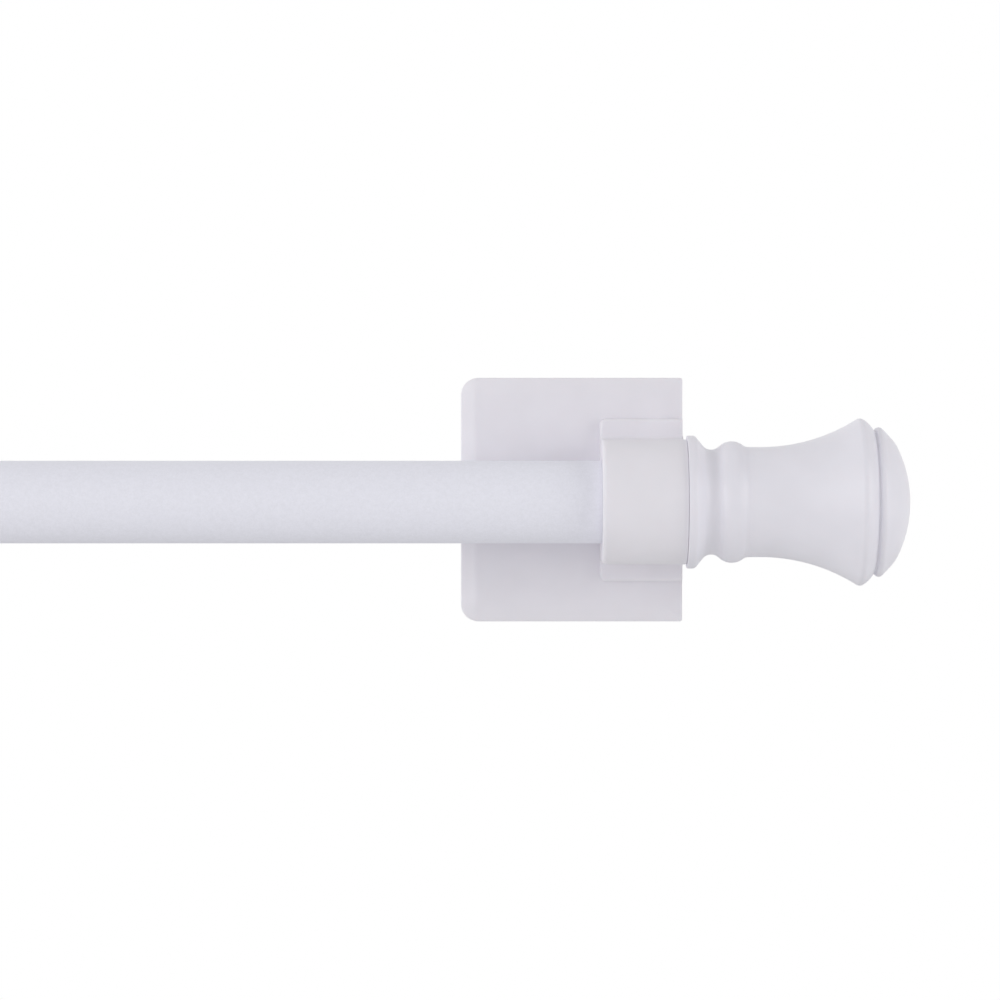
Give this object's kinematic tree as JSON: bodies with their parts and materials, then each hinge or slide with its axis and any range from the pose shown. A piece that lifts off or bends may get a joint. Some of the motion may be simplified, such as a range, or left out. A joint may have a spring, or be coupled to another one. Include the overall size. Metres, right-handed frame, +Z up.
{
  "type": "curtain rod with brackets",
  "caption": "White telescoping curtain rod held off a steel door by square magnetic brackets, with a flared trumpet finial screwed into each end.",
  "frame": {"origin": "centre of the right-hand bracket's back pad, on the face of the door", "axes": "+X along the rod towards the right-hand finial, +Y into the door, +Z up"},
  "size_m": [0.594, 0.0411, 0.048],
  "materials": {
    "powder_coat": "satin white powder coat with a fine orange peel",
    "rod_plastic": "satin white moulding",
    "bracket_plastic": "satin white moulding",
    "finial_plastic": "satin white moulding",
    "nylon": "natural nylon",
    "steel": "zinc plated",
    "brass": "turned and knurled",
    "ferrite": "sintered, matt",
    "rubber_pad": "soft rubber sheet with a fine grain"
  },
  "bodies": {
    "right_bracket": {"right_housing": "bracket_plastic", "right_yoke": "steel", "right_magnet_upper": "ferrite", "right_magnet_lower": "ferrite", "right_back_pad": "rubber_pad", "right_collar": "bracket_plastic", "right_collar_screws": "steel"},
    "outer_rod": {"outer_tube": "powder_coat", "right_tube_plug": "nylon", "right_thread_insert": "brass", "mouth_bush": "rod_plastic"},
    "right_finial_washer": {"right_washer": "nylon"},
    "right_finial": {"right_finial_body": "finial_plastic", "right_finial_bolt": "steel", "right_finial_cap": "finial_plastic"},
    "inner_rod": {"inner_tube": "powder_coat", "glide": "nylon", "left_tube_plug": "nylon", "left_thread_insert": "brass", "reducer_sleeve": "rod_plastic"},
    "left_finial_washer": {"left_washer": "nylon"},
    "left_finial": {"left_finial_body": "finial_plastic", "left_finial_bolt": "steel", "left_finial_cap": "finial_plastic"},
    "left_bracket": {"left_housing": "bracket_plastic", "left_yoke": "steel", "left_magnet_upper": "ferrite", "left_magnet_lower": "ferrite", "left_back_pad": "rubber_pad", "left_collar": "bracket_plastic", "left_collar_screws": "steel"}
  },
  "joints": [
    {"name": "right_swivel", "type": "hinge", "parent": "right_bracket", "child": "outer_rod", "pos_m": [0, -0.025, 0], "axis": [1, 0, 0], "continuous": true},
    {"name": "telescope", "type": "slide", "parent": "outer_rod", "child": "inner_rod", "axis": [-1, 0, 0], "range_m": [-0.102, 0.203]},
    {"name": "left_swivel", "type": "hinge", "parent": "inner_rod", "child": "left_bracket", "pos_m": [-0.4644, -0.025, 0], "axis": [1, 0, 0], "continuous": true},
    {"name": "right_finial_travel", "type": "slide", "parent": "outer_rod", "child": "right_finial_washer", "axis": [1, 0, 0], "range_m": [0, 0.0116]},
    {"name": "right_finial_turn", "type": "hinge", "parent": "right_finial_washer", "child": "right_finial", "pos_m": [0.022, -0.025, 0], "axis": [1, 0, 0], "range_deg": [0, 4140]},
    {"name": "left_finial_travel", "type": "slide", "parent": "inner_rod", "child": "left_finial_washer", "axis": [-1, 0, 0], "range_m": [0, 0.0116]},
    {"name": "left_finial_turn", "type": "hinge", "parent": "left_finial_washer", "child": "left_finial", "pos_m": [-0.4864, -0.025, 0], "axis": [-1, 0, 0], "range_deg": [0, 4140]}
  ],
  "couplings": [
    {"joint": "right_finial_travel", "follows": "right_finial_turn", "m_per_rad": 0.00015915},
    {"joint": "left_finial_travel", "follows": "left_finial_turn", "m_per_rad": 0.00015915}
  ]
}
